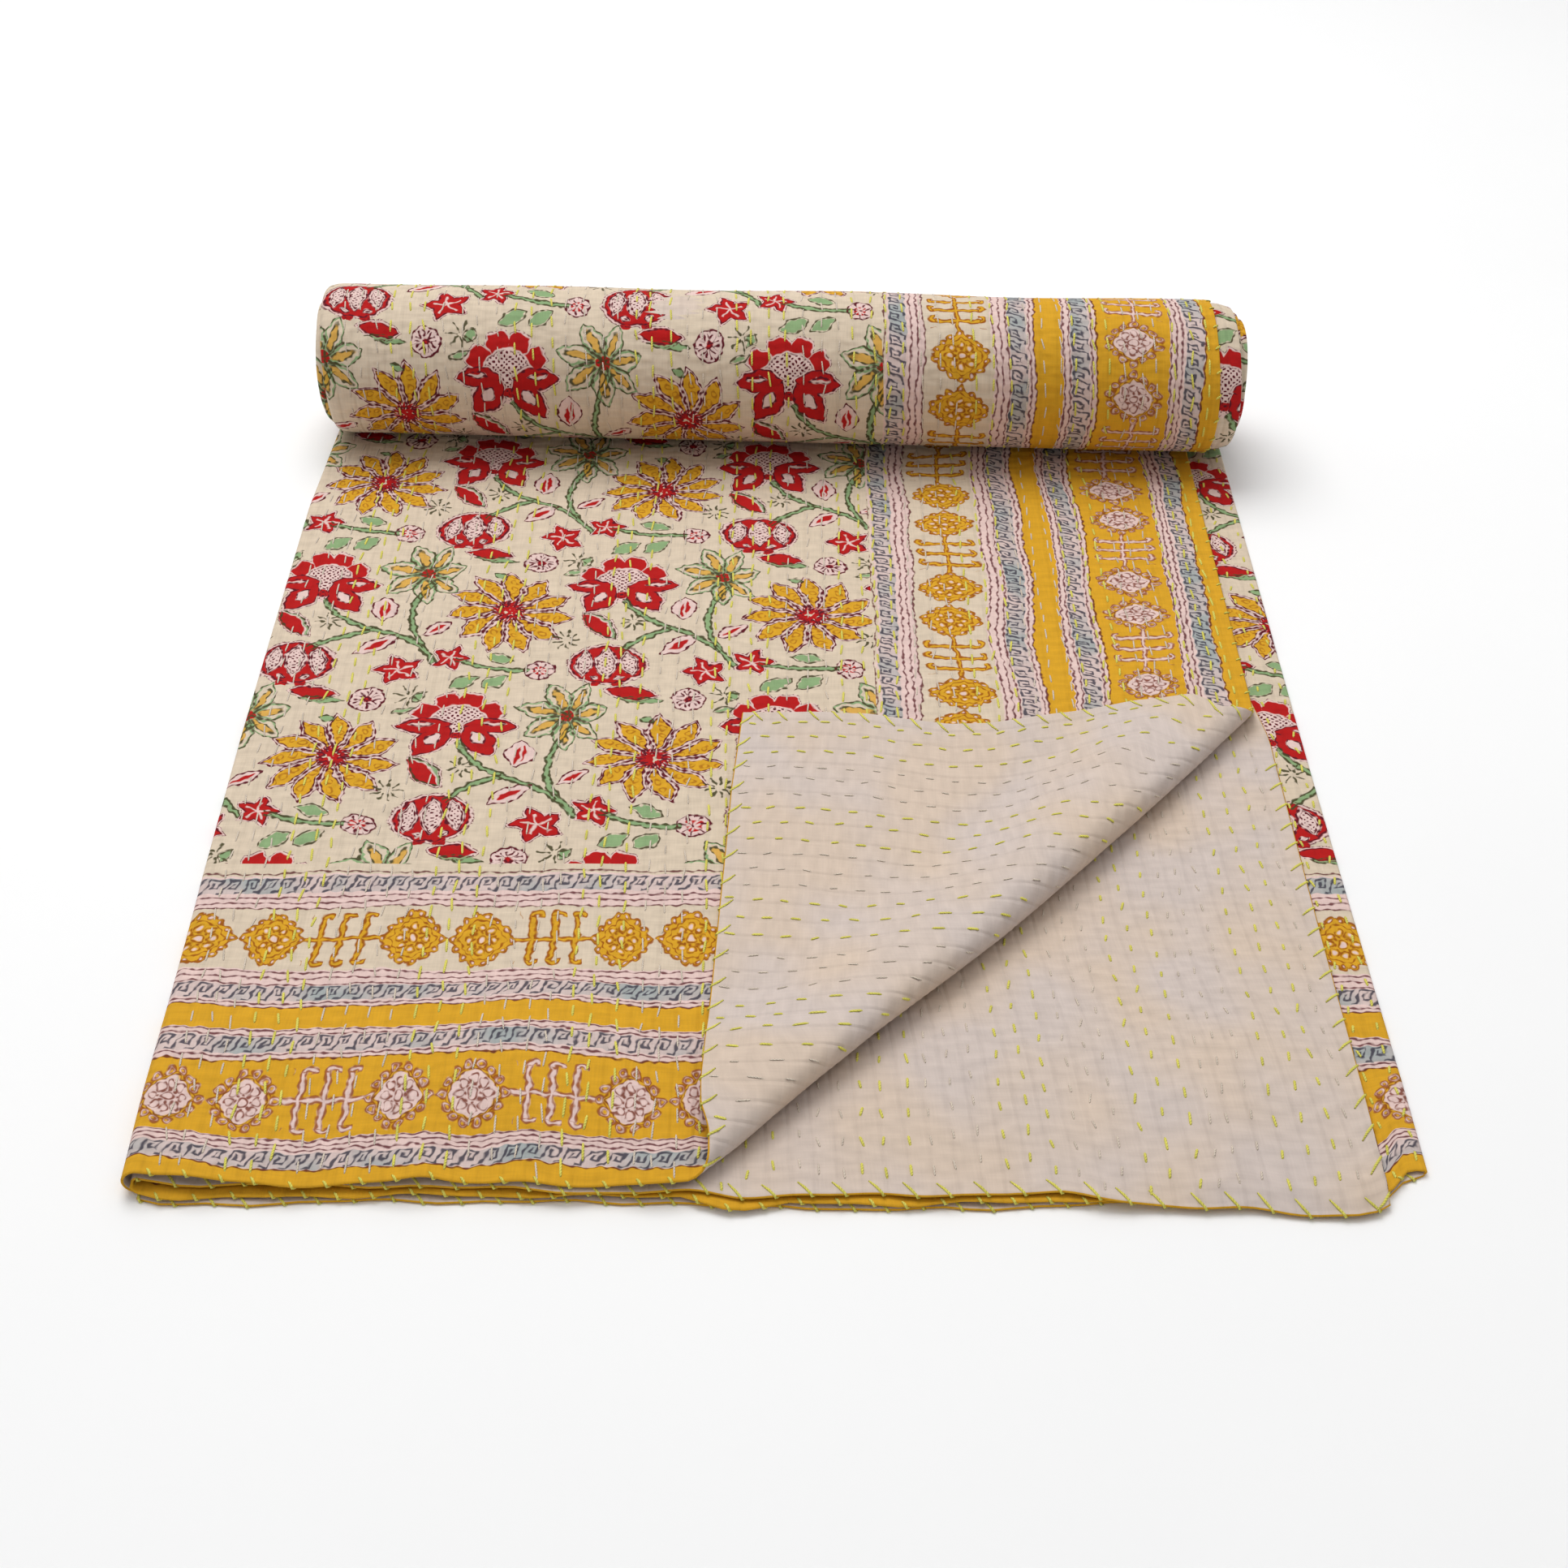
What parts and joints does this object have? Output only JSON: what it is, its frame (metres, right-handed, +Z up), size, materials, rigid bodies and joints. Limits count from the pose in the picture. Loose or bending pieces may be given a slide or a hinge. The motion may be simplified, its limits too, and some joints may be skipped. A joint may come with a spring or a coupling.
{
  "type": "kantha quilt",
  "caption": "Thin hand-stitched cotton quilt, folded lengthwise in four, one front corner turned back and its far end rolled up.",
  "frame": {"origin": "middle of the base of the folded and rolled quilt's box, on the surface it lies on", "axes": "+X across the folded layers, towards their loose right hems; +Y from the front hems to the roll; +Z up"},
  "size_m": [0.5982, 0.7192, 0.1018],
  "materials": {
    "printed_cotton": "block-printed cotton, matt, puckered by running stitch"
  },
  "bodies": {
    "root": {"quilt": "printed_cotton"}
  },
  "joints": []
}
